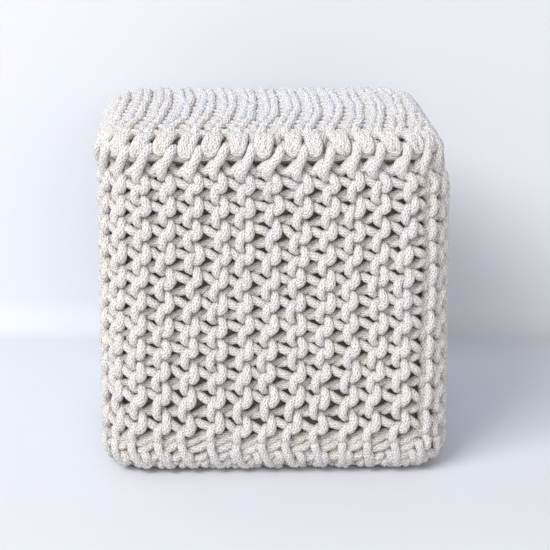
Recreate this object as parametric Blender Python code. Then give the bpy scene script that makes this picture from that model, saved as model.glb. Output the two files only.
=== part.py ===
"""Knitted cube pouf: a filled cube, about 40 cm each way, covered in knitted cotton cord.

The sides are one long strip whose ridges stand upright, closed by a chained seam at one corner.
A square panel with ridges from front to back closes the top, and another closes the underside.
Overcast stitches of the same cord join both panels to the strip.
"""
import bpy
import numpy as np

# Driving sizes, in metres
HEIGHT = 0.402
TOP_HALF = 0.198
BASE_HALF = 0.204
CORNER_ROUND = 0.056
TOP_ROUND = 0.033
BASE_ROUND = 0.044
RIDGES_PER_SIDE = 13
TOP_RIDGES = 15
RIDGE_DEPTH = 0.007
GAP = 0.0003

# Heights where one piece ends and the next begins
BASE_PANEL_TOP = 0.019
BAND_LOW = 0.050
BAND_HIGH = 0.350
TOP_PANEL_LOW = 0.383

# How far each panel's edge lies inside the crests of the sides
TOP_PANEL_INSET = 0.005
BASE_PANEL_INSET = 0.010

# The rebates in the filled band that the seams lie in
TOP_REBATE = 0.012
BASE_REBATE = 0.022
CORNER_GROOVE = 0.012
CORNER_RIDGE = 6

# The stitches of the seams
SEAM_RELIEF = 0.005
TOP_SEAM_LEAN = 0.40
BASE_SEAM_LEAN = 0.30
CORNER_LOOPS = 12
CORNER_LOOP_RELIEF = 0.004
CORNER_SEAM_HALF = 0.34

# How far the top panel's ridges sway sideways between its front and its back
TOP_SWAY = 0.012

POINTS_PER_RIDGE = 5
POINTS_PER_STITCH = 3
RINGS_PER_LOOP = 4
PANEL_ROWS = 13

RIDGES_ROUND = 4 * RIDGES_PER_SIDE

COTTON = (0.78, 0.76, 0.73, 1.0)
SEAM_COTTON = (0.74, 0.72, 0.69, 1.0)


def cotton_material(name, colour):
    """A matt undyed cotton."""
    material = bpy.data.materials.new(name)
    material.use_nodes = True
    shader = material.node_tree.nodes["Principled BSDF"]
    shader.inputs["Base Color"].default_value = colour
    shader.inputs["Roughness"].default_value = 0.9
    shader.inputs["Metallic"].default_value = 0.0
    return material


def half_width(z):
    """Half the width across the crests at height z: the sides lean in a little going up."""
    return BASE_HALF + (TOP_HALF - BASE_HALF) * z / HEIGHT


def round_the_sides(ridge, inset, z):
    """Points on a rounded square, and their outward directions.

    The place along the square is counted in ridges, from the middle of the front towards +X and
    so round, and each side takes an equal count. The square is half_width(z) less the inset.
    """
    half = half_width(z) - inset
    radius = np.maximum(CORNER_ROUND - inset, CORNER_ROUND / 2)
    straight = half - radius
    quarter = 2 * straight + radius * np.pi / 2
    side = np.floor(ridge / RIDGES_PER_SIDE + 0.5)
    along = (ridge / RIDGES_PER_SIDE - side) * quarter
    turn = np.maximum(np.abs(along) - straight, 0) / radius
    x = np.sign(along) * (np.minimum(np.abs(along), straight) + radius * np.sin(turn))
    y = -straight - radius * np.cos(turn)
    out_x = np.sign(along) * np.sin(turn)
    out_y = -np.cos(turn)
    spin = side * np.pi / 2
    place = np.stack([x * np.cos(spin) - y * np.sin(spin), x * np.sin(spin) + y * np.cos(spin)], -1)
    out = np.stack([out_x * np.cos(spin) - out_y * np.sin(spin),
                    out_x * np.sin(spin) + out_y * np.cos(spin)], -1)
    return place, out


def ring_points(ridge, inset, z):
    """The same points at height z, as a row of 3-D points."""
    ridge, inset, z = np.broadcast_arrays(ridge, inset, z)
    place, _ = round_the_sides(ridge, inset, z)
    return np.concatenate([place, z[..., None]], -1)


def ridge_relief(ridge):
    """How far the surface lies below the crests: a cosine wave with a crest on each whole number."""
    return RIDGE_DEPTH * (1 - np.cos(2 * np.pi * ridge)) / 2


def make_object(name, points, faces, material, collection):
    """A mesh object from rows of points and lists of corner numbers, its faces turned outward."""
    mesh = bpy.data.meshes.new(name)
    mesh.from_pydata(points.tolist(), [], faces)
    mesh.materials.append(material)
    mesh.validate()
    mesh.shade_smooth()
    mesh.set_sharp_from_angle(angle=np.radians(40))
    thing = bpy.data.objects.new(name, mesh)
    collection.objects.link(thing)
    return thing


def loft_faces(rows, columns, rows_close):
    """Quads between rows of points whose columns close on themselves."""
    faces = []
    last = rows if rows_close else rows - 1
    for i in range(last):
        for j in range(columns):
            right = (j + 1) % columns
            up = (i + 1) % rows
            faces.append((i * columns + j, i * columns + right, up * columns + right, up * columns + j))
    return faces


def side_band(material, collection):
    """The filled strip: ridged sides between two plain rebates, with a groove at one corner."""
    ridge = np.arange(RIDGES_ROUND * POINTS_PER_RIDGE) / POINTS_PER_RIDGE
    relief = ridge_relief(ridge)
    relief[np.abs(ridge - CORNER_RIDGE) < 0.5] = CORNER_GROOVE
    sections = [
        (BASE_PANEL_TOP + GAP, BASE_REBATE),
        (BAND_LOW, BASE_REBATE),
        (BAND_LOW, relief),
        (BAND_HIGH, relief),
        (BAND_HIGH, TOP_REBATE),
        (TOP_PANEL_LOW - GAP, TOP_REBATE),
    ]
    rows = [ring_points(ridge, inset, z) for z, inset in sections]
    count = len(ridge)
    faces = loft_faces(len(rows), count, False)
    faces.append(tuple(range(count - 1, -1, -1)))
    faces.append(tuple(range((len(rows) - 1) * count, len(rows) * count)))
    make_object("side_band", np.concatenate(rows), faces, material, collection)


def joining_seam(name, section, lean, material, collection):
    """A closed ring of slanted stitches.

    The section is a loop of (height, inset, relief share) rows, anticlockwise seen with the
    outside on the right. Each stitch is a bump that leans along the edge as it rises.
    """
    stitch = np.arange(RIDGES_ROUND * POINTS_PER_STITCH) / POINTS_PER_STITCH
    bump = SEAM_RELIEF * (1 - np.cos(2 * np.pi * stitch)) / 2
    low = min(z for z, _, _ in section)
    high = max(z for z, _, _ in section)
    rows = []
    for z, inset, share in section:
        slide = lean * (z - low) / (high - low) * share
        rows.append(ring_points(stitch + slide, inset + bump * share, z))
    faces = loft_faces(len(rows), len(stitch), True)
    make_object(name, np.concatenate(rows), faces, material, collection)


def corner_seam(material, collection):
    """The chain of long loops that closes the strip, lying in the groove of the filled band."""
    levels = np.linspace(BAND_LOW + GAP, BAND_HIGH - GAP, CORNER_LOOPS * RINGS_PER_LOOP + 1)
    loop = np.linspace(0, CORNER_LOOPS, len(levels))
    swell = (1 - np.cos(2 * np.pi * loop)) / 2
    floor = CORNER_GROOVE - GAP
    step = 1 / POINTS_PER_RIDGE
    section = [
        (-CORNER_SEAM_HALF, floor / 2, 0.0),
        (-step, CORNER_LOOP_RELIEF / 4, 1.0),
        (0.0, 0.0, 1.0),
        (step, CORNER_LOOP_RELIEF / 4, 1.0),
        (CORNER_SEAM_HALF, floor / 2, 0.0),
        (CORNER_SEAM_HALF, floor, 0.0),
        (step, floor, 0.0),
        (0.0, floor, 0.0),
        (-step, floor, 0.0),
        (-CORNER_SEAM_HALF, floor, 0.0),
    ]
    place = np.array([row[0] for row in section])
    inset = np.array([row[1] for row in section])
    share = np.array([row[2] for row in section])
    rows = []
    for z, part in zip(levels, swell):
        depth = inset + CORNER_LOOP_RELIEF * (1 - part) * share
        rows.append(ring_points(CORNER_RIDGE + place, depth, z))
    count = len(section)
    faces = loft_faces(len(rows), count, False)
    faces.append(tuple(range(count - 1, -1, -1)))
    faces.append(tuple(range((len(rows) - 1) * count, len(rows) * count)))
    make_object("corner_seam", np.concatenate(rows), faces, material, collection)


def knit_panel(name, ridges, edge_inset, edge_round, flat_z, sway, material, collection):
    """A square panel with rounded rims, its ridges running from front to back.

    The outer face follows the pouf's rounded edge and lies flat inside it. Each ridge has a flat
    crest, and its ends are scalloped at the front and the back. The inner face is flat.
    """
    top = flat_z > HEIGHT / 2
    outer_z = HEIGHT if top else 0.0
    up = 1 if top else -1
    half = half_width(outer_z)
    pitch = 2 * (half - edge_inset) / ridges
    steps = np.array([-0.35, -0.15, 0.15, 0.35, 0.5])
    lowered = np.array([0.5, 0.0, 0.0, 0.5, 1.0])
    middle = (ridges - 1) / 2
    ridge = (np.arange(ridges)[:, None] - middle + steps).ravel()
    ridge = np.concatenate([[-ridges / 2], ridge])
    depth = np.concatenate([[1.0], np.tile(lowered, ridges)]) * RIDGE_DEPTH
    across = ridge * pitch
    straight = half - CORNER_ROUND
    corner = CORNER_ROUND - edge_inset
    past = np.clip(np.abs(across) - straight, 0, corner)
    reach = straight + np.sqrt(corner ** 2 - past ** 2)
    row = np.sin(np.linspace(-np.pi / 2, np.pi / 2, PANEL_ROWS))
    x = np.broadcast_to(across[:, None], (len(across), PANEL_ROWS)).copy()
    y = reach[:, None] * row[None, :]
    over_x = np.maximum(np.abs(x) - straight, 0)
    over_y = np.maximum(np.abs(y) - straight, 0)
    from_edge = CORNER_ROUND - np.hypot(over_x, over_y)
    inside = np.minimum(half - np.maximum(np.abs(x), np.abs(y)), from_edge)
    rim = np.clip(1 - inside / edge_round, 0, 1)
    drop = edge_round * (1 - np.sqrt(1 - rim ** 2))
    lift = np.clip((inside - edge_inset) / (edge_round - edge_inset), 0, 1)
    z = outer_z - up * (drop + depth[:, None] * lift)
    y -= np.sign(y) * depth[:, None] * (1 - lift) * (np.abs(row) > 0.5)
    travel = (row + 1) / 2
    lean = 1 - ((travel - 0.55) / 0.55) ** 2
    x += sway * lean[None, :] * (1 - (x / half) ** 4)
    points = np.stack([x, y, z], -1).reshape(-1, 3)
    columns, rows = x.shape
    index = np.arange(columns * rows).reshape(columns, rows)
    rim_loop = np.concatenate([index[:, 0], index[-1, 1:], index[-2::-1, -1], index[0, -2:0:-1]])
    wall = points[rim_loop].copy()
    wall[:, 2] = flat_z
    inner = np.arange(len(rim_loop)) + len(points)
    faces = []
    for i in range(columns - 1):
        for j in range(rows - 1):
            faces.append((index[i, j], index[i + 1, j], index[i + 1, j + 1], index[i, j + 1]))
    count = len(rim_loop)
    for i in range(count):
        after = (i + 1) % count
        faces.append((rim_loop[after], rim_loop[i], inner[i], inner[after]))
    faces.append(tuple(inner[::-1]))
    faces = [tuple(int(corner) for corner in face) for face in faces]
    if not top:
        faces = [face[::-1] for face in faces]
    make_object(name, np.concatenate([points, wall]), faces, material, collection)


for old in list(bpy.data.objects):
    bpy.data.objects.remove(old, do_unlink=True)

pouf = bpy.data.collections.new("knitted_cube_pouf")
bpy.context.scene.collection.children.link(pouf)
knit = cotton_material("knitted_cord", COTTON)
joining = cotton_material("joining_cord", SEAM_COTTON)

side_band(knit, pouf)
knit_panel("top_panel", TOP_RIDGES, TOP_PANEL_INSET, TOP_ROUND, TOP_PANEL_LOW, TOP_SWAY, knit, pouf)
knit_panel("bottom_panel", RIDGES_PER_SIDE, BASE_PANEL_INSET, BASE_ROUND, BASE_PANEL_TOP, 0.0, knit, pouf)

top_section = [
    (BAND_HIGH + GAP, TOP_REBATE - GAP, 0.0),
    (BAND_HIGH + GAP, 0.003, 1.0),
    (0.357, 0.000, 1.0),
    (0.368, 0.000, 1.0),
    (0.378, 0.001, 1.0),
    (TOP_PANEL_LOW - GAP, 0.003, 1.0),
    (TOP_PANEL_LOW - GAP, TOP_REBATE - GAP, 0.0),
]
joining_seam("top_seam", top_section, TOP_SEAM_LEAN, joining, pouf)

base_section = [
    (BASE_PANEL_TOP + GAP, BASE_REBATE - GAP, 0.0),
    (BASE_PANEL_TOP + GAP, 0.008, 1.0),
    (0.027, 0.004, 1.0),
    (0.036, 0.001, 1.0),
    (0.044, 0.000, 1.0),
    (BAND_LOW - GAP, 0.003, 1.0),
    (BAND_LOW - GAP, BASE_REBATE - GAP, 0.0),
]
joining_seam("bottom_seam", base_section, BASE_SEAM_LEAN, joining, pouf)

corner_seam(joining, pouf)
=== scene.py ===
"""A knitted cube pouf, 40 cm each way: every stitch of its cord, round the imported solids."""
import bpy
import numpy as np
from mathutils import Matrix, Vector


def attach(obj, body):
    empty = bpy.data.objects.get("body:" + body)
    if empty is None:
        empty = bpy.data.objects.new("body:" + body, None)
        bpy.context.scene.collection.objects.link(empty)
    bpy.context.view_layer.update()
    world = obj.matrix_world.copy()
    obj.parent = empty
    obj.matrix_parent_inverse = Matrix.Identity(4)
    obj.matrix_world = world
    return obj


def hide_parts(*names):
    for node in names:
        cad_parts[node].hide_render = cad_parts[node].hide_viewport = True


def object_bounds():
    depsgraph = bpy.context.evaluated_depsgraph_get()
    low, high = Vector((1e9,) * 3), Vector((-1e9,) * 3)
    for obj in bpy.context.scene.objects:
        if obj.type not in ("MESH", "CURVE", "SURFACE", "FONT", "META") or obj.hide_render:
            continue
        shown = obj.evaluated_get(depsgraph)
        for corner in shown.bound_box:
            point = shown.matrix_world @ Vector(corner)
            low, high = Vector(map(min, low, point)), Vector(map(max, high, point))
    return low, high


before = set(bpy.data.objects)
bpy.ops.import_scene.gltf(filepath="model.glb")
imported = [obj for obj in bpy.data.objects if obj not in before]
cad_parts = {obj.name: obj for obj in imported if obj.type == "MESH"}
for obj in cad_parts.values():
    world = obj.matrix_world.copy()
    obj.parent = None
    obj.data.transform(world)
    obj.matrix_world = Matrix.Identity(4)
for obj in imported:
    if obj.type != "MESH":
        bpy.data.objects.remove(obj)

cad_box = [list(corner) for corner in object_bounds()]

# The camera
# It stands a little above the pouf and very slightly to its left, far enough back for a long lens.
LENS_MM = 91.0
SENSOR_MM = 36.0
CAMERA_REACH = 1.750
CAMERA_TILT = np.radians(15.07)
CAMERA_TURN = np.radians(1.2)
AIM_X = 0.0042
AIM_HEIGHT = 0.187

lens = bpy.data.cameras.new("camera")
lens.lens = LENS_MM
lens.sensor_width = SENSOR_MM
camera = bpy.data.objects.new("camera", lens)
bpy.context.scene.collection.objects.link(camera)
level_reach = CAMERA_REACH * np.cos(CAMERA_TILT)
camera.location = (AIM_X - level_reach * np.sin(CAMERA_TURN), -level_reach * np.cos(CAMERA_TURN),
                   AIM_HEIGHT + CAMERA_REACH * np.sin(CAMERA_TILT))
camera.rotation_euler = (np.pi / 2 - CAMERA_TILT, 0.0, -CAMERA_TURN)
bpy.context.scene.camera = camera

# The pouf's own form
# A cube of filling with rounded edges, a little wider at the floor. The knitting lies over it, and
# all its cords are placed by where they are on this form and how far out they stand.
HEIGHT = cad_box[1][2] - cad_box[0][2]
TOP_HALF = 0.198
BASE_HALF = 0.204
CORNER_ROUND = 0.056
TOP_ROUND = 0.033
BASE_ROUND = 0.037
TOP_LEAN = 0.0095
LEAN_START = 0.335
LEFT_SWELL = 0.0075
SWELL_START = 0.355
SETTING_IN = 0.03
LEAN_REACH = 0.18
RIDGES_PER_SIDE = 13
RIDGES_ROUND = 4 * RIDGES_PER_SIDE


def wrap(ridge, inset, z):
    """Points on a rounded square at height z, and the outward direction at each.

    From the middle of a side a point goes straight, then half way round the corner's quarter
    circle. The place is counted in ridges from the middle of the front, thirteen to a side, and
    each side is the first one turned.
    """
    half = BASE_HALF + (TOP_HALF - BASE_HALF) * z / HEIGHT - inset
    radius = np.maximum(CORNER_ROUND - inset, CORNER_ROUND / 2)
    straight = half - radius
    quarter = 2 * straight + radius * np.pi / 2
    side = np.floor(ridge / RIDGES_PER_SIDE + 0.5)
    along = (ridge / RIDGES_PER_SIDE - side) * quarter
    turn = np.maximum(np.abs(along) - straight, 0) / radius
    x = np.sign(along) * (np.minimum(np.abs(along), straight) + radius * np.sin(turn))
    y = -straight - radius * np.cos(turn)
    out_x = np.sign(along) * np.sin(turn)
    out_y = -np.cos(turn)
    spin = side * np.pi / 2
    place = np.stack([x * np.cos(spin) - y * np.sin(spin), x * np.sin(spin) + y * np.cos(spin)], -1)
    out = np.stack([out_x * np.cos(spin) - out_y * np.sin(spin),
                    out_x * np.sin(spin) + out_y * np.cos(spin)], -1)
    return place, out


def smooth_step(z, start):
    """Nothing at the starting height, one at 30 mm above it, and level at both ends."""
    part = np.clip((z - start) / SETTING_IN, 0, 1)
    return part ** 2 * (3 - 2 * part)


def leaned(points):
    """The points with the cover's top moved to the left, as it sits on the filling.

    The move sets in over 30 mm of height by a smooth step. It is whole at the front's right corner
    and the back's left one, and nothing at the other two. The left edge also swells, from 20 mm
    higher up, and most a little behind its middle.
    """
    x = np.clip(points[..., 0] / LEAN_REACH, -1, 1)
    y = np.clip(points[..., 1] / LEAN_REACH, -1, 1)
    lean = TOP_LEAN * (1 - x * y) / 2
    swell = LEFT_SWELL * np.maximum(-x, 0) ** 2 * (1 - y) * (1 + y) ** 2
    moved = points.copy()
    moved[..., 0] -= lean * smooth_step(points[..., 2], LEAN_START)
    moved[..., 0] -= swell * smooth_step(points[..., 2], SWELL_START)
    return moved


def shell(ridge, rise, lift):
    """A point over the pouf's sides, and the way out there.

    Rise is the height on the straight side. Above it the extra length is laid along the quarter
    circle of the top edge, and below it along that of the bottom edge. Lift is measured outward.
    """
    over = np.clip((rise - HEIGHT + TOP_ROUND) / TOP_ROUND, 0, np.pi / 2)
    under = np.clip((BASE_ROUND - rise) / BASE_ROUND, 0, np.pi / 2)
    inset = TOP_ROUND * (1 - np.cos(over)) + BASE_ROUND * (1 - np.cos(under))
    z = np.clip(rise, BASE_ROUND, HEIGHT - TOP_ROUND)
    z = z + TOP_ROUND * np.sin(over) - BASE_ROUND * np.sin(under)
    level = np.cos(over) * np.cos(under)
    up = np.sin(over) - np.sin(under)
    place, out = wrap(ridge, inset, z)
    way = np.concatenate([out * level[..., None], up[..., None]], -1)
    return leaned(np.concatenate([place, z[..., None]], -1) + way * lift[..., None]), way


# The filling
# Loose fibre packed tight, which holds the cube's form. It shows only as the dark behind the gaps
# between stitches, pressed a little way in from the cord, and that dark is painted shade: its
# colour is a dark brown-grey that stands for the shadow there, not the fibre's own colour.
FILLING_INSET = 0.0175
FILLING_ROWS = 40
FILLING_COLUMNS = 160
HALF_WAY_IN = [0.5, 0.5, 1]


def add_piece(name, mesh, material, node):
    """A piece of the pouf, which rides on its one body and takes the place of a solid."""
    piece = bpy.data.objects.new(name, mesh)
    bpy.context.scene.collection.objects.link(piece)
    piece.data.materials.append(material)
    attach(piece, "root")
    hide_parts(node)
    return piece


def filling_mesh():
    """A closed rounded cube: rows of the pouf's own form, set in, from its underside to its top.

    The rows follow the rounded edges. A last row at each end lies half way to the middle, and one
    flat face closes it.
    """
    ridge = np.arange(FILLING_COLUMNS) / FILLING_COLUMNS * RIDGES_ROUND
    low = BASE_ROUND * (1 - np.pi / 2)
    high = HEIGHT - TOP_ROUND * (1 - np.pi / 2)
    rise = np.linspace(low, high, FILLING_ROWS)[:, None] + 0 * ridge[None, :]
    points, _ = shell(ridge[None, :] + 0 * rise, rise, np.full(rise.shape, -FILLING_INSET))
    points = np.concatenate([points[:1] * HALF_WAY_IN, points, points[-1:] * HALF_WAY_IN])
    count = len(points)
    index = np.arange(count * FILLING_COLUMNS).reshape(count, FILLING_COLUMNS)
    after = np.roll(index, -1, axis=1)
    quads = np.stack([index[:-1], after[:-1], after[1:], index[1:]], -1).reshape(-1, 4)
    faces = quads.tolist() + [index[0, ::-1].tolist(), index[-1].tolist()]
    mesh = bpy.data.meshes.new("filling")
    mesh.from_pydata(points.reshape(-1, 3).tolist(), [], faces)
    mesh.shade_smooth()
    return mesh


filling_shadow_cloth = bpy.data.materials.new("filling_painted_shadow")
filling_shadow_cloth.use_nodes = True
nodes = filling_shadow_cloth.node_tree.nodes
links = filling_shadow_cloth.node_tree.links
shader = nodes["Principled BSDF"]
shader.inputs["Roughness"].default_value = 1.0
place = nodes.new("ShaderNodeTexCoord")
clumps = nodes.new("ShaderNodeTexNoise")
clumps.inputs["Scale"].default_value = 90.0
clumps.inputs["Detail"].default_value = 4.0
# Painted shade: the ramp runs between dark browns, for the shadow behind the stitches.
shade = nodes.new("ShaderNodeValToRGB")
shade.color_ramp.elements[0].color = (0.11, 0.095, 0.085, 1)
shade.color_ramp.elements[1].color = (0.26, 0.235, 0.215, 1)
links.new(place.outputs["Object"], clumps.inputs["Vector"])
links.new(clumps.outputs["Fac"], shade.inputs["Fac"])
links.new(shade.outputs["Color"], shader.inputs["Base Color"])
rough = nodes.new("ShaderNodeBump")
rough.inputs["Strength"].default_value = 0.5
rough.inputs["Distance"].default_value = 0.002
links.new(clumps.outputs["Fac"], rough.inputs["Height"])
links.new(rough.outputs["Normal"], shader.inputs["Normal"])

filling = add_piece("filling", filling_mesh(), filling_shadow_cloth, "side_band")

# The knitted strip round the sides
# One long strip of braided cotton cord, 10 mm thick, knitted so that its rows stand upright. Each
# row is one cord that winds down the side: it makes a short upright leg, goes right behind the
# loops of its own ridge, makes a loop that lies on the next ridge, and comes back.
CORD_RADIUS = 0.0051
CORD_SIDES = 8
CORD_END = 0.35
PLAIT_TURNS = 5.0
PLAIT_STRANDS = 8.0
STITCH_DROP = 0.0274
FIRST_BEND = 0.337
RIM_BEND = FIRST_BEND + STITCH_DROP
RIDGE_STEP = 0.029
LEG_OFFSET = 0.285
SIDE_STITCHES = 12
SIDE_RINGS = 34

# How far a knot and a whole stitch lie off at random, and how the knitting strays, in millimetres.
# The waves are counted in whole ones round the pouf, and slant by so many radians a millimetre.
KNOT_LOOSE = 0.45
STITCH_LOOSE = 0.765
SPREAD = 4.0
LEAN = 0.033
LEAN_MIDDLE = 150
SAG = 1.5
CORNER_SAG = 4.0
SAG_LENGTH = 330
PULLED_DOWN = 6.6
LAST_LOOPS = 303.0
LAST_LOOPS_REACH = 25
STRAY = 0.75
STRAY_DOWN = 0.7
STRAY_WAVES = (3, 5, 8, 11, 14, 18, 22, 27)
STRAY_SLANT = 0.06
STRAY_PHASE = 6.3

# One stitch: millimetres to the right of the leg's bend, down from it, and out from the cord's own
# middle height, then how thick the cord is there, as it is squeezed where it passes others
STITCH = np.array([
    (7.5, -5.0, -7.0, 0.95),
    (3.6, -2.6, -3.0, 1.00),
    (0.4, 1.6, -0.6, 1.04),
    (-0.8, 7.2, 0.4, 1.06),
    (-0.6, 13.0, -0.2, 1.04),
    (3.2, 17.0, -4.5, 0.94),
    (9.5, 16.2, -11.0, 0.86),
    (15.0, 14.2, -10.0, 0.82),
    (20.0, 11.8, -5.0, 0.86),
    (25.2, 9.2, -3.2, 0.94),
    (30.5, 8.0, -7.0, 0.92),
    (34.8, 10.4, -7.0, 0.94),
    (37.4, 14.2, -3.0, 1.06),
    (39.1, 18.6, 0.0, 1.12),
    (39.4, 23.2, 0.6, 1.14),
    (38.0, 27.8, 0.0, 1.12),
    (35.0, 30.6, -3.0, 1.02),
    (32.0, 30.0, -6.0, 0.96),
    (29.0, 28.0, -5.0, 1.02),
    (24.4, 25.0, -2.4, 1.04),
    (18.9, 21.6, -2.4, 1.02),
    (13.8, 19.2, -5.6, 0.96),
    (10.4, 20.4, -9.5, 0.90),
])
LEG_POINTS = slice(0, 6)
LOOP_POINTS = slice(11, 18)

# The last loops are tucked in under the bottom edge, and the stitches beside the corner's seam are
# tucked in too, in millimetres. The legs there are also moved along, in ridges.
SEAM_RIDGE = 6
LAST_LOOP_TUCK = 12.0
SEAM_LOOP_TUCK = 6.0
SEAM_LEG_TUCK = 5.0
SEAM_LEG_SHIFT = 0.17


def smooth_cord(knots, count):
    """Points along a smooth curve through the knots of each cord, spaced evenly between them.

    Between two knots it is the cubic that passes through both with the slopes of the chords past
    them, which is a Catmull-Rom curve.
    """
    place = np.linspace(0, knots.shape[1] - 1, count)
    start = np.minimum(place.astype(int), knots.shape[1] - 2)
    t = (place - start)[None, :, None]
    before = 2 * knots[:, :1] - knots[:, 1:2]
    past = 2 * knots[:, -1:] - knots[:, -2:-1]
    longer = np.concatenate([before, knots, past], 1)
    a, b, c, d = (longer[:, start + i] for i in range(4))
    square = 2 * a - 5 * b + 4 * c - d
    cube = 3 * b - a - 3 * c + d
    return 0.5 * (2 * b + (c - a) * t + square * t ** 2 + cube * t ** 3)


def cord_mesh(name, centres, outward, lift, radius):
    """Tubes round the centre lines, closed at both ends, with the length and turn kept as a UV map.

    A ring is centre + radius * (cos a * across + sin a * out), where across is square to the cord
    and to the way out of the pouf. How far each point lies under the crests is kept as its depth,
    which the cord's material turns into painted shade.
    """
    cords, rings = centres.shape[:2]
    run = np.gradient(centres, axis=1)
    run /= np.linalg.norm(run, axis=-1, keepdims=True)
    across = np.cross(run, outward)
    across /= np.maximum(np.linalg.norm(across, axis=-1, keepdims=True), 1e-6)
    out = np.cross(across, run)
    angle = np.arange(CORD_SIDES) / CORD_SIDES * 2 * np.pi
    size = np.broadcast_to(radius, (cords, rings)).copy()
    size[:, [0, -1]] *= CORD_END
    spread = across[:, :, None] * np.cos(angle)[:, None] + out[:, :, None] * np.sin(angle)[:, None]
    points = centres[:, :, None] + spread * size[:, :, None, None]
    index = np.arange(cords * rings * CORD_SIDES).reshape(cords, rings, CORD_SIDES)
    after = np.roll(index, -1, axis=2)
    quads = np.stack([index[:, :-1], index[:, 1:], after[:, 1:], after[:, :-1]], -1).reshape(-1, 4)
    caps = np.concatenate([index[:, 0], index[:, -1, ::-1]])
    mesh = bpy.data.meshes.new(name)
    mesh.vertices.add(index.size)
    mesh.vertices.foreach_set("co", points.reshape(-1).astype(np.float32))
    loops = np.concatenate([quads.ravel(), caps.ravel()])
    mesh.loops.add(len(loops))
    mesh.loops.foreach_set("vertex_index", loops.astype(np.int32))
    cap_starts = quads.size + np.arange(len(caps)) * CORD_SIDES
    starts = np.concatenate([np.arange(len(quads)) * 4, cap_starts])
    mesh.polygons.add(len(starts))
    mesh.polygons.foreach_set("loop_start", starts.astype(np.int32))
    step = np.linalg.norm(np.diff(centres, axis=1), axis=-1)
    length = np.concatenate([np.zeros((cords, 1)), np.cumsum(step, 1)], 1)
    girth = 2 * np.pi * CORD_RADIUS
    grid = (cords, rings, CORD_SIDES + 1)
    u = np.broadcast_to((length / girth)[:, :, None], grid)
    v = np.broadcast_to(np.arange(CORD_SIDES + 1) / CORD_SIDES, grid)
    uv = np.stack([u, v], -1)
    quad_uv = np.stack([uv[:, :-1, :-1], uv[:, 1:, :-1], uv[:, 1:, 1:], uv[:, :-1, 1:]], -2)
    cap_uv = np.concatenate([uv[:, 0, :-1], uv[:, -1, -2::-1]])
    corners_uv = np.concatenate([quad_uv.reshape(-1, 2), cap_uv.reshape(-1, 2)])
    mesh.update(calc_edges=True)
    layer = mesh.uv_layers.new(name="along_cord")
    layer.data.foreach_set("uv", corners_uv.ravel().astype(np.float32))
    depth = mesh.attributes.new("depth", "FLOAT", "POINT")
    deep = lift[:, :, None] + size[:, :, None] * np.sin(angle)
    depth.data.foreach_set("value", deep.ravel().astype(np.float32))
    mesh.validate()
    mesh.shade_smooth()
    return mesh


def times(material, first, second):
    """The product of two colours, or of a colour and a number, in a material."""
    product = material.node_tree.nodes.new("ShaderNodeMix")
    product.data_type = "RGBA"
    product.blend_type = "MULTIPLY"
    product.inputs["Factor"].default_value = 1.0
    material.node_tree.links.new(first, product.inputs["A"])
    material.node_tree.links.new(second, product.inputs["B"])
    return product.outputs["Result"]


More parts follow.
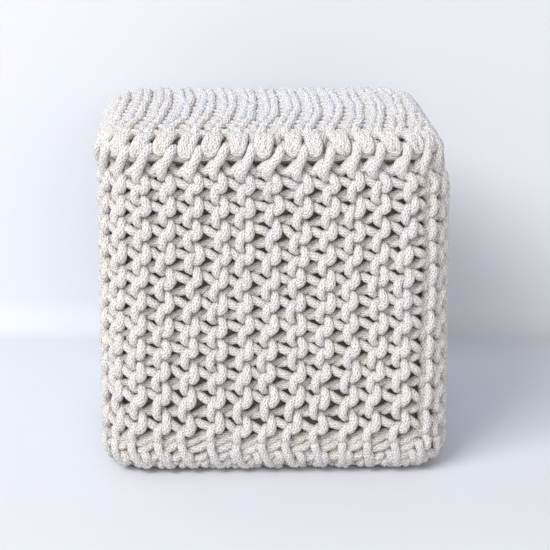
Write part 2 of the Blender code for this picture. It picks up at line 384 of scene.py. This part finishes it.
def cotton_cord(name, tint):
    """Undyed cotton cord, plaited from fine strands.

    The plait is two sets of slanting waves round the cord, the higher of the two showing, with its
    grooves painted a little darker as shade. Fine specks lie over it, and the tint drifts from
    stitch to stitch as undyed cotton does. The deeper the cord lies under the crests, the browner
    and darker its colour is painted, as shade in the knitting's recesses.
    """
    material = bpy.data.materials.new(name)
    material.use_nodes = True
    nodes = material.node_tree.nodes
    links = material.node_tree.links
    shader = nodes["Principled BSDF"]
    shader.inputs["Roughness"].default_value = 0.92
    shader.inputs["Specular IOR Level"].default_value = 0.2
    shader.inputs["Sheen Weight"].default_value = 0.15
    shader.inputs["Sheen Roughness"].default_value = 0.5
    along = nodes.new("ShaderNodeUVMap")
    along.uv_map = "along_cord"
    parts = nodes.new("ShaderNodeSeparateXYZ")
    links.new(along.outputs["UV"], parts.inputs["Vector"])
    waves = []
    for slant in (1.0, -1.0):
        lengthwise = nodes.new("ShaderNodeMath")
        lengthwise.operation = "MULTIPLY"
        lengthwise.inputs[1].default_value = slant * PLAIT_TURNS * 2 * np.pi
        links.new(parts.outputs["X"], lengthwise.inputs[0])
        phase = nodes.new("ShaderNodeMath")
        phase.operation = "MULTIPLY_ADD"
        phase.inputs[1].default_value = PLAIT_STRANDS * 2 * np.pi
        links.new(parts.outputs["Y"], phase.inputs[0])
        links.new(lengthwise.outputs[0], phase.inputs[2])
        wave = nodes.new("ShaderNodeMath")
        wave.operation = "SINE"
        links.new(phase.outputs[0], wave.inputs[0])
        waves.append(wave)
    plait = nodes.new("ShaderNodeMath")
    plait.operation = "MAXIMUM"
    links.new(waves[0].outputs[0], plait.inputs[0])
    links.new(waves[1].outputs[0], plait.inputs[1])
    place = nodes.new("ShaderNodeTexCoord")
    fluff = nodes.new("ShaderNodeTexNoise")
    fluff.inputs["Scale"].default_value = 700.0
    fluff.inputs["Detail"].default_value = 3.0
    links.new(place.outputs["Object"], fluff.inputs["Vector"])
    height = nodes.new("ShaderNodeMath")
    height.operation = "MULTIPLY_ADD"
    height.inputs[1].default_value = 2.4
    links.new(fluff.outputs["Fac"], height.inputs[0])
    links.new(plait.outputs[0], height.inputs[2])
    bump = nodes.new("ShaderNodeBump")
    bump.inputs["Strength"].default_value = 0.8
    bump.inputs["Distance"].default_value = 0.0010
    links.new(height.outputs[0], bump.inputs["Height"])
    links.new(bump.outputs["Normal"], shader.inputs["Normal"])
    drift = nodes.new("ShaderNodeTexNoise")
    drift.inputs["Scale"].default_value = 38.0
    drift.inputs["Detail"].default_value = 1.0
    links.new(place.outputs["Object"], drift.inputs["Vector"])
    tints = nodes.new("ShaderNodeValToRGB")
    tints.color_ramp.elements[0].position = 0.30
    tints.color_ramp.elements[0].color = (0.84, 0.81, 0.82, 1)
    tints.color_ramp.elements[1].position = 0.72
    tints.color_ramp.elements[1].color = (0.87, 0.84, 0.805, 1)
    middle = tints.color_ramp.elements.new(0.5)
    middle.color = tint
    links.new(drift.outputs["Fac"], tints.inputs["Fac"])
    # Painted shade: the plait's grooves are made up to a fifth darker, for the shade between its
    # strands.
    groove_shade = nodes.new("ShaderNodeMapRange")
    groove_shade.inputs["From Min"].default_value = -0.4
    groove_shade.inputs["From Max"].default_value = 1.0
    groove_shade.inputs["To Min"].default_value = 0.80
    groove_shade.inputs["To Max"].default_value = 1.0
    links.new(plait.outputs[0], groove_shade.inputs["Value"])
    specks = nodes.new("ShaderNodeMapRange")
    specks.inputs["From Min"].default_value = 0.36
    specks.inputs["From Max"].default_value = 0.60
    specks.inputs["To Min"].default_value = 0.70
    specks.inputs["To Max"].default_value = 1.14
    links.new(fluff.outputs["Fac"], specks.inputs["Value"])
    # Painted shade: the colour is made browner and darker the deeper the cord lies under the
    # crests, for the shade in the knitting's recesses and holes.
    depth = nodes.new("ShaderNodeAttribute")
    depth.attribute_name = "depth"
    recess_shade_amount = nodes.new("ShaderNodeMapRange")
    recess_shade_amount.inputs["From Min"].default_value = -0.0150
    recess_shade_amount.inputs["From Max"].default_value = -0.0020
    links.new(depth.outputs["Fac"], recess_shade_amount.inputs["Value"])
    painted_recess_shade = nodes.new("ShaderNodeValToRGB")
    painted_recess_shade.color_ramp.elements[0].color = (0.18, 0.145, 0.125, 1)
    painted_recess_shade.color_ramp.elements[1].color = (1.0, 1.0, 1.0, 1)
    low = painted_recess_shade.color_ramp.elements.new(0.25)
    low.color = (0.40, 0.35, 0.325, 1)
    between = painted_recess_shade.color_ramp.elements.new(0.5)
    between.color = (0.69, 0.65, 0.63, 1)
    links.new(recess_shade_amount.outputs["Result"], painted_recess_shade.inputs["Fac"])
    shaded = times(material, tints.outputs["Color"], groove_shade.outputs["Result"])
    grained = times(material, shaded, specks.outputs["Result"])
    with_recess_shade = times(material, grained, painted_recess_shade.outputs["Color"])
    links.new(with_recess_shade, shader.inputs["Base Color"])
    return material


def stray(ridge, down):
    """How far the knitting strays from its even places, in millimetres right and down.

    The ridges lean to the left on their way down, and are stretched over the front and back. The
    rows sit higher half way down, most at the corners, and the last row of loops is pulled down.
    To that comes a sum of slow waves, whole ones round the pouf and slanting ones down it, so that
    neighbouring cords move together.
    """
    chance = np.random.default_rng(5)
    swing = np.sin(2 * np.pi * ridge / (2 * RIDGES_PER_SIDE))
    right = SPREAD * swing - LEAN * (down - LEAN_MIDDLE)
    sag = -(SAG + CORNER_SAG * swing ** 2) * np.sin(np.pi * np.clip(down / SAG_LENGTH, 0, 1))
    sag = sag + PULLED_DOWN * np.exp(-((down - LAST_LOOPS) / LAST_LOOPS_REACH) ** 2)
    for turns in STRAY_WAVES:
        slant = chance.uniform(-STRAY_SLANT, STRAY_SLANT)
        phase = turns * 2 * np.pi * ridge / RIDGES_ROUND + down * slant
        right = right + STRAY * np.sin(phase + chance.uniform(0, STRAY_PHASE))
        sag = sag + STRAY * STRAY_DOWN * np.sin(phase + chance.uniform(0, STRAY_PHASE))
    return right, sag


def let_stray(knots, below):
    """Moves knots that are counted in ridges across and in millimetres down.

    Below is how far under the rim stitches' bend they are counted from.
    """
    right, sag = stray(knots[..., 0], knots[..., 1] + below)
    knots[..., 0] += right / (RIDGE_STEP * 1000)
    knots[..., 1] += sag


def knit_rows(seed, rows, stitches):
    """Knots of each row's cord: ridges across, millimetres down, millimetres out and thickness.

    Every stitch is the same table moved one step down, and each knot is moved a little at random,
    as hand-made stitches are.
    """
    chance = np.random.default_rng(seed)
    knots = np.tile(STITCH, (len(rows), stitches, 1, 1))
    knots[..., 1] += np.arange(stitches)[None, :, None] * STITCH_DROP * 1000
    knots[..., :3] += chance.normal(0, KNOT_LOOSE, knots.shape[:3] + (3,))
    knots[..., :2] += chance.normal(0, STITCH_LOOSE, knots.shape[:2] + (1, 2))
    knots[..., 0] = knots[..., 0] / (RIDGE_STEP * 1000) - LEG_OFFSET + rows[:, None, None]
    return knots.reshape(len(rows), -1, 4)


knit_material = cotton_cord("knitted_cotton_cord", (0.86, 0.83, 0.81, 1))
side_rows = np.arange(RIDGES_ROUND) - RIDGES_PER_SIDE // 2
side_knots = knit_rows(seed=11, rows=side_rows, stitches=SIDE_STITCHES)
by_stitch = side_knots.reshape(RIDGES_ROUND, SIDE_STITCHES, len(STITCH), 4)
at_seam = SEAM_RIDGE - side_rows[0]
by_stitch[:, -1, LOOP_POINTS.start:, 2] -= LAST_LOOP_TUCK
by_stitch[at_seam - 1, :, LOOP_POINTS, 2] -= SEAM_LOOP_TUCK
by_stitch[at_seam, :, LEG_POINTS, 2] -= SEAM_LEG_TUCK
by_stitch[at_seam, :, LEG_POINTS, 0] += SEAM_LEG_SHIFT
side_path = smooth_cord(side_knots, SIDE_STITCHES * SIDE_RINGS)
let_stray(side_path, 0.0)
side_width = CORD_RADIUS * side_path[..., 3]
side_lift = side_path[..., 2] / 1000 - CORD_RADIUS
side_rise = RIM_BEND - side_path[..., 1] / 1000
side_centres, side_out = shell(side_path[..., 0], side_rise, side_lift)
for number, name in enumerate(("knit_front", "knit_right", "knit_back", "knit_left")):
    own = slice(number * RIDGES_PER_SIDE, (number + 1) * RIDGES_PER_SIDE)
    mesh = cord_mesh(name, side_centres[own], side_out[own], side_lift[own], side_width[own])
    add_piece(name, mesh, knit_material, "side_band")

# The panels on top and underneath
# Two knitted squares of the same cord and stitch, with their ridges from front to back. Each is
# pulled down a little over the rounded edge, where the joining stitches hold it.
PANEL_ROWS = np.arange(-8, 9)
PANEL_PITCH = 0.0254
PANEL_MIDDLE = -0.0175
PANEL_STITCHES = 14
PANEL_RINGS = 28
PANEL_DEPTH = 0.8
PANEL_WRAP = 1.1
PANEL_START = 0.1
PANEL_STRAY = 0.5
PANEL_DIP = 0.006
PANEL_DIP_START = 0.004
PANEL_DIP_RUN = 0.016
PANEL_SWAY = 0.016
PANEL_SWAY_START = 0.02
PANEL_SWAY_RUN = 0.195
PANEL_EDGE = 0.005
BASE_EDGE = 0.010


def panel(across, along, lift, top):
    """A point over a panel, and the way out there.

    Along runs straight over the flat, then round the edge's quarter circle. It is drawn in beside
    the rounded corners, and the height follows from how near the point is to the outline.
    """
    outer = HEIGHT if top else 0.0
    up = 1.0 if top else -1.0
    half = TOP_HALF if top else BASE_HALF
    edge = TOP_ROUND if top else BASE_ROUND
    inset = PANEL_EDGE if top else BASE_EDGE
    flat = half - edge
    turn = np.clip((np.abs(along) - flat) / edge, 0, np.pi / 2)
    straight = half - CORNER_ROUND
    corner = CORNER_ROUND - inset
    limit = half - inset
    x = np.clip(across, -limit, limit)
    past = np.clip(np.abs(x) - straight, 0, corner)
    reach = (straight + np.sqrt(corner ** 2 - past ** 2)) / limit
    y = np.sign(along) * (np.minimum(np.abs(along), flat) + edge * np.sin(turn)) * reach
    over = np.stack([np.maximum(np.abs(x) - straight, 0), np.maximum(np.abs(y) - straight, 0)], -1)
    far = np.linalg.norm(over, axis=-1)
    in_corner = (over[..., 0] > 0) & (over[..., 1] > 0)
    to_side = half - np.maximum(np.abs(x), np.abs(y))
    to_edge = np.where(in_corner, np.minimum(to_side, CORNER_ROUND - far), to_side)
    rim = np.clip(1 - to_edge / edge, 0, 1)
    steep = np.sqrt(1 - rim ** 2)
    z = outer - up * edge * (1 - steep)
    sideways = np.abs(x) > np.abs(y)
    plain = np.stack([np.where(sideways, np.sign(x), 0.0), np.where(sideways, 0.0, np.sign(y))], -1)
    curved = over / np.maximum(far, 1e-9)[..., None] * np.stack([np.sign(x), np.sign(y)], -1)
    level = np.where(in_corner[..., None], curved, plain)
    way = np.concatenate([level * rim[..., None], (up * steep)[..., None]], -1)
    return leaned(np.stack([x, y, z], -1) + way * lift[..., None]), way


def panel_piece(name, top, seed, node):
    """One knitted square, its stitches running from its back edge to its front edge.

    The top one dips under the joining stitches at both of these edges, and its ridges sway to the
    left towards them. The bottom one's cords are kept above the floor.
    """
    path = smooth_cord(knit_rows(seed, PANEL_ROWS, PANEL_STITCHES), PANEL_STITCHES * PANEL_RINGS)
    right, _ = stray(path[..., 0], path[..., 1])
    half = TOP_HALF if top else BASE_HALF
    edge = TOP_ROUND if top else BASE_ROUND
    length = 2 * (half - edge) + 2 * edge * PANEL_WRAP
    gone = (path[..., 1] / 1000 / STITCH_DROP + PANEL_START) / PANEL_STITCHES
    along = length / 2 - gone * length
    across = path[..., 0] * PANEL_PITCH + PANEL_MIDDLE + right * PANEL_STRAY / 1000
    lift = path[..., 2] * PANEL_DEPTH / 1000 - CORD_RADIUS
    width = CORD_RADIUS * path[..., 3]
    if top:
        across -= PANEL_SWAY * np.clip((along - PANEL_SWAY_START) / PANEL_SWAY_RUN, -1, 1) ** 2
        past_flat = np.abs(along) - half + edge
        lift -= PANEL_DIP * np.clip((past_flat - PANEL_DIP_START) / PANEL_DIP_RUN, 0, 1)
    centres, out = panel(across, along, lift, top)
    if not top:
        centres[..., 2] = np.maximum(centres[..., 2], width)
    mesh = cord_mesh(name, centres, out, lift, width)
    add_piece(name, mesh, knit_material, node)


panel_piece("knit_top", top=True, seed=23, node="top_panel")
panel_piece("knit_bottom", top=False, seed=37, node="bottom_panel")

# The joining stitches
# The same cord, worked over each edge with a thick needle. At the top it makes a slanting stitch on
# every ridge, between the fat loops where the top's rows turn and the cords that it picks up. At
# the bottom it is one cord in long stitches, over slanting strands and the panel's last loops.
BASE_BEND = FIRST_BEND - (SIDE_STITCHES - 1) * STITCH_DROP
LOOP_RADIUS = CORD_RADIUS * 0.98
OVERCAST_RADIUS = CORD_RADIUS * 1.1
EDGE_KNOT_LOOSE = 0.36
EDGE_CORD_LOOSE = 0.675
RING_POINTS = 12
ALL_RIDGES = np.arange(RIDGES_ROUND)[:, None]

# Each table is the knots of one cord: millimetres to the right, down from the bend, and out
OVERCAST = np.array([
    (1.2, 19.6, -10.0),
    (0.6, 14.4, -3.0),
    (1.6, 8.6, 1.0),
    (4.6, 1.8, 2.2),
    (8.0, -5.5, 2.6),
    (10.6, -12.4, 2.4),
    (12.2, -18.0, 0.6),
    (12.4, -22.0, -5.0),
    (12.0, -25.0, -12.0),
])
TURNING_LOOP = np.array([
    (19.8, -50.0, -9.0),
    (19.5, -44.5, -3.5),
    (19.2, -36.5, 0.0),
    (19.3, -27.0, 0.8),
    (20.0, -19.0, 0.2),
    (22.6, -14.2, -0.8),
    (26.2, -12.6, -1.0),
    (29.4, -16.0, -0.4),
    (30.4, -24.0, 0.6),
    (30.4, -35.0, 0.0),
    (30.0, -43.5, -3.5),
    (29.6, -49.5, -9.0),
])
LOOP_MIDDLE = np.array([
    (24.6, -49.0, -8.0),
    (24.6, -42.5, -1.5),
    (24.8, -30.0, 1.0),
    (25.0, -21.0, 0.4),
    (25.4, -15.0, -3.0),
])
PICKED_UP = np.array([
    (-8.8, 8.6, -2.4),
    (-4.0, 5.0, -1.2),
    (0.5, 0.4, -2.6),
    (5.0, -2.5, -6.5),
    (11.0, 1.5, -8.0),
    (15.5, 7.0, -5.0),
])
UNDER_RIM = np.array([
    (-14.5, -9.0, -5.0),
    (-5.0, -8.0, -5.6),
    (5.0, -8.0, -6.5),
])
BEHIND_RIM = np.array([
    (-14.5, -3.5, -11.5),
    (0.0, -2.5, -12.0),
])
BASE_STITCH = np.array([
    (-0.4, -16.0, -5.0),
    (-0.4, -9.5, -0.4),
    (0.0, -3.5, 0.4),
    (1.0, 2.8, 1.0),
    (2.6, 9.0, 1.8),
    (4.4, 15.0, 2.2),
    (5.6, 20.5, 2.6),
    (6.6, 25.4, 2.8),
    (9.0, 29.4, 2.8),
    (12.8, 30.6, 1.8),
    (16.2, 27.4, -0.4),
    (18.4, 21.6, -3.4),
    (20.8, 14.4, -5.0),
    (23.6, 6.8, -6.5),
    (26.8, -2.0, -9.0),
])
BASE_STRAND = np.array([
    (1.0, 14.0, -11.0),
    (5.7, 9.0, -6.5),
    (11.5, 2.8, -2.8),
    (18.3, -2.3, -2.4),
    (24.5, -9.0, -5.5),
    (28.0, -14.0, -11.0),
])
LAST_ROW = np.array([
    (2.0, -1.0, -10.0),
    (6.0, -4.8, -6.0),
    (11.5, -9.0, -4.4),
    (18.3, -14.5, -4.4),
    (22.9, -19.5, -6.4),
    (27.0, -23.0, -11.0),
])
BASE_LOOP = np.array([
    (18.6, 50.0, -11.0),
    (18.6, 42.0, -8.5),
    (20.4, 34.5, -7.0),
    (23.4, 31.5, -6.6),
    (26.4, 34.5, -7.0),
    (27.8, 42.0, -8.5),
    (27.8, 50.0, -11.0),
])


def lay_cords(name, knots, bend, count, node, radius):
    """Cords laid over the pouf through their knots, which are counted down from a bend's height."""
    let_stray(knots, (RIM_BEND - bend) * 1000)
    path = smooth_cord(knots, count)
    lift = path[..., 2] / 1000 - CORD_RADIUS
    centres, way = shell(path[..., 0], bend - path[..., 1] / 1000, lift)
    mesh = cord_mesh(name, centres, way, lift, radius)
    add_piece(name, mesh, seam_material, node)


def edge_cords(name, tables, bend, rings, seed, node, radius):
    """Short cords on every ridge round an edge, one for each table, joined into one piece."""
    chance = np.random.default_rng(seed)
    cords = []
    for table in tables:
        many = np.tile(table, (RIDGES_ROUND, 1, 1))
        many += chance.normal(0, EDGE_KNOT_LOOSE, many.shape)
        many[..., :2] += chance.normal(0, EDGE_CORD_LOOSE, (RIDGES_ROUND, 1, 2))
        many[..., 0] = many[..., 0] / (RIDGE_STEP * 1000) - LEG_OFFSET + ALL_RIDGES
        cords.append(many)
    lay_cords(name, np.concatenate(cords), bend, rings, node, radius)


def ring_cord(name, table, bend, seed, node):
    """One cord right round an edge, the table repeated on every ridge, its ends meeting."""
    chance = np.random.default_rng(seed)
    many = np.tile(table, (RIDGES_ROUND, 1, 1))
    many += chance.normal(0, EDGE_KNOT_LOOSE, many.shape)
    many[..., 0] = many[..., 0] / (RIDGE_STEP * 1000) - LEG_OFFSET + ALL_RIDGES
    line = many.reshape(1, -1, 3)
    first_again = line[:, :1] + [RIDGES_ROUND, 0, 0]
    knots = np.concatenate([line, first_again], 1)
    lay_cords(name, knots, bend, RIDGES_ROUND * RING_POINTS, node, CORD_RADIUS)


seam_material = cotton_cord("joining_cotton_cord", (0.85, 0.825, 0.81, 1))
edge_cords("overcast_stitches", [OVERCAST], RIM_BEND, rings=20, seed=41, node="top_seam",
           radius=OVERCAST_RADIUS)
edge_cords("turning_loops", [TURNING_LOOP], RIM_BEND, rings=26, seed=43, node="top_seam",
           radius=LOOP_RADIUS)
edge_cords("loop_middles", [LOOP_MIDDLE], RIM_BEND, rings=12, seed=45, node="top_seam",
           radius=LOOP_RADIUS)
ring_cord("picked_up_cord", PICKED_UP, RIM_BEND, seed=47, node="top_seam")
ring_cord("under_rim_cord", UNDER_RIM, RIM_BEND, seed=53, node="top_seam")
ring_cord("behind_rim_cord", BEHIND_RIM, RIM_BEND, seed=55, node="top_seam")
ring_cord("base_stitches", BASE_STITCH, BASE_BEND, seed=59, node="bottom_seam")
edge_cords("base_strands", [BASE_STRAND, LAST_ROW], BASE_BEND, rings=16, seed=67,
           node="bottom_seam", radius=LOOP_RADIUS)
edge_cords("base_loops", [BASE_LOOP], BASE_BEND, rings=18, seed=71, node="bottom_seam",
           radius=LOOP_RADIUS)

# The cords' inner runs
# Behind each hole of the stitch the strip's own cord crosses again, deeper in and pressed thinner,
# on its way to the next loop.
INNER_RUN = np.array([
    (3.0, 15.0, -13.0),
    (8.0, 12.6, -8.4),
    (13.5, 10.5, -6.6),
    (19.0, 8.1, -6.6),
    (24.0, 5.8, -8.4),
    (28.0, 3.2, -13.5),
])
INNER_RADIUS = CORD_RADIUS * 0.90

inner_runs = [INNER_RUN + [0.0, row * STITCH_DROP * 1000, 0.0] for row in range(SIDE_STITCHES)]
edge_cords("inner_runs", inner_runs, RIM_BEND, rings=8, seed=73, node="side_band",
           radius=INNER_RADIUS)

# The chained corner
# The strip's two ends meet at the front's right corner. One more cord closes them there, in a
# column of long stitches.
CORNER_STITCH = np.array([
    (0.0, -16.0, -9.0),
    (0.6, -13.0, -3.0),
    (1.2, -8.5, 0.6),
    (1.2, -3.0, 1.2),
    (0.4, 3.0, 0.6),
    (-1.2, 7.2, -2.5),
    (-1.4, 9.6, -7.0),
])
CORNER_PLACE = 6.11
CORNER_RINGS = 16

corner_chance = np.random.default_rng(61)
corner_knots = np.tile(CORNER_STITCH, (SIDE_STITCHES, 1, 1))
corner_knots += corner_chance.normal(0, EDGE_KNOT_LOOSE, corner_knots.shape)
corner_knots[..., 0] = corner_knots[..., 0] / (RIDGE_STEP * 1000) + CORNER_PLACE
corner_knots[..., 1] += np.arange(SIDE_STITCHES)[:, None] * STITCH_DROP * 1000
lay_cords("corner_stitches", corner_knots.reshape(1, -1, 3), FIRST_BEND,
          SIDE_STITCHES * CORNER_RINGS, "corner_seam", CORD_RADIUS)

# The studio
# A pale floor that turns up into a pale wall just behind the pouf, with a face on one side only, so
# that the pouf shows in views from behind it. A wide soft light hangs high on the left, a weaker
# one stands behind the camera, and a narrow bluish one hangs over the top.
FLOOR_HALF = 3.0
WALL_Y = 0.37
CURVE = 0.05
CURVE_POINTS = 10


def bent_sheet(name, profile):
    """A sheet across the picture and square to it, following a profile of points back and up."""
    points = []
    for y, z in profile:
        for x in (-FLOOR_HALF, FLOOR_HALF):
            points.append((x * np.cos(CAMERA_TURN) + y * np.sin(CAMERA_TURN),
                           y * np.cos(CAMERA_TURN) - x * np.sin(CAMERA_TURN), z))
    faces = [(2 * i, 2 * i + 1, 2 * i + 3, 2 * i + 2) for i in range(len(profile) - 1)]
    mesh = bpy.data.meshes.new(name)
    mesh.from_pydata(points, [], faces)
    mesh.shade_smooth()
    sheet = bpy.data.objects.new(name, mesh)
    bpy.context.scene.collection.objects.link(sheet)
    return sheet


turns = np.linspace(0.0, np.pi / 2, CURVE_POINTS)
bend = [(WALL_Y - CURVE + CURVE * np.sin(turn), CURVE * (1 - np.cos(turn))) for turn in turns]
floor = bent_sheet("floor", [(-FLOOR_HALF, 0.0)] + bend + [(WALL_Y, FLOOR_HALF)])
paper = bpy.data.materials.new("pale_floor")
paper.use_nodes = True
nodes = paper.node_tree.nodes
links = paper.node_tree.links
shader = nodes["Principled BSDF"]
shader.inputs["Roughness"].default_value = 0.9
place = nodes.new("ShaderNodeTexCoord")
parts = nodes.new("ShaderNodeSeparateXYZ")
rising = nodes.new("ShaderNodeMapRange")
rising.inputs["From Max"].default_value = CURVE
tone = nodes.new("ShaderNodeValToRGB")
tone.color_ramp.elements[0].color = (0.65, 0.673, 0.72, 1)
tone.color_ramp.elements[1].color = (0.675, 0.70, 0.75, 1)
links.new(place.outputs["Object"], parts.inputs["Vector"])
links.new(parts.outputs["Z"], rising.inputs["Value"])
links.new(rising.outputs["Result"], tone.inputs["Fac"])
links.new(tone.outputs["Color"], shader.inputs["Base Color"])
side = nodes.new("ShaderNodeNewGeometry")
clear = nodes.new("ShaderNodeBsdfTransparent")
one_sided = nodes.new("ShaderNodeMixShader")
links.new(side.outputs["Backfacing"], one_sided.inputs[0])
links.new(shader.outputs["BSDF"], one_sided.inputs[1])
links.new(clear.outputs["BSDF"], one_sided.inputs[2])
links.new(one_sided.outputs[0], nodes["Material Output"].inputs["Surface"])
floor.data.materials.append(paper)


def soft_light(name, place, aim, size, power, colour, spread=180.0):
    """A flat light, so wide and so tall, that faces its aim and spreads over so many degrees."""
    lamp = bpy.data.lights.new(name, "AREA")
    lamp.shape = "RECTANGLE"
    lamp.size, lamp.size_y = size
    lamp.energy = power
    lamp.color = colour
    lamp.spread = np.radians(spread)
    light = bpy.data.objects.new(name, lamp)
    bpy.context.scene.collection.objects.link(light)
    way = np.array(aim) - np.array(place)
    tilt = np.arccos(-way[2] / np.linalg.norm(way))
    heading = np.arctan2(way[1], way[0]) - np.pi / 2
    light.location = place
    light.rotation_euler = (tilt, 0.0, heading)


soft_light("key_light", place=(-3.4, -3.65, 4.5), aim=(0, 0, 0.2), size=(3.8, 2.8), power=396.0,
           colour=(1.0, 0.99, 0.97))
soft_light("front_light", place=(0.4, -4.2, 1.5), aim=(0, 0, 0.3), size=(2.8, 1.8), power=60.0,
           colour=(1.0, 0.985, 0.975))
soft_light("top_light", place=(0.0, 0.05, 2.4), aim=(0, 0.05, 0.2), size=(0.4, 0.4), power=0.20,
           colour=(0.25, 0.5, 1.0), spread=16.0)

world = bpy.data.worlds.new("studio")
bpy.context.scene.world = world
world.use_nodes = True
surroundings = world.node_tree.nodes["Background"]
surroundings.inputs["Color"].default_value = (1.0, 0.955, 0.945, 1)
surroundings.inputs["Strength"].default_value = 0.38
bpy.context.scene.view_settings.view_transform = "Standard"
